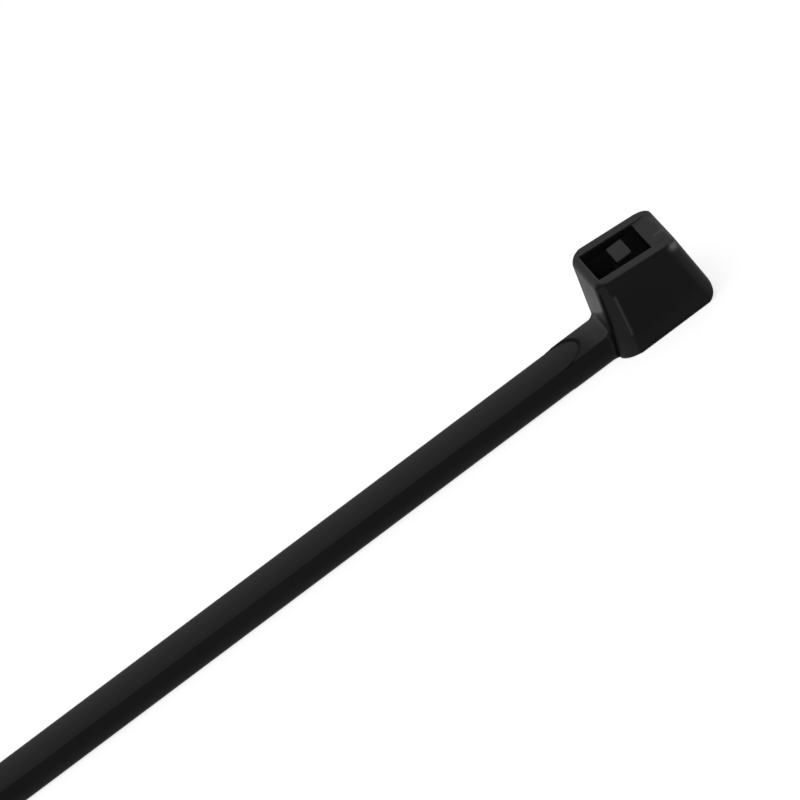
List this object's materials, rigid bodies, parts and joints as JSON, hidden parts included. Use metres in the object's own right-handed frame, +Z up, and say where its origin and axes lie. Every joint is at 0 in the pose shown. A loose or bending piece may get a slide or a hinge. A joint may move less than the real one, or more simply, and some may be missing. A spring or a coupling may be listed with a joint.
{
  "type": "cable tie",
  "caption": "Miniature one-piece cable tie: flat strap with a saw-tooth rack, and a block head with a strap passage and a spring pawl.",
  "frame": {"origin": "middle of the strap passage in the head where the strap enters it, in the plane of the head's base", "axes": "+X along the strap towards the head's free end, so the strap runs towards -X; +Z up through the passage, out of the side where the pawl's end shows; the toothed side of the strap faces -Z"},
  "size_m": [0.1, 0.0046, 0.0035],
  "materials": {
    "nylon": "satin"
  },
  "bodies": {
    "root": {"cable_tie": "nylon"}
  },
  "joints": []
}
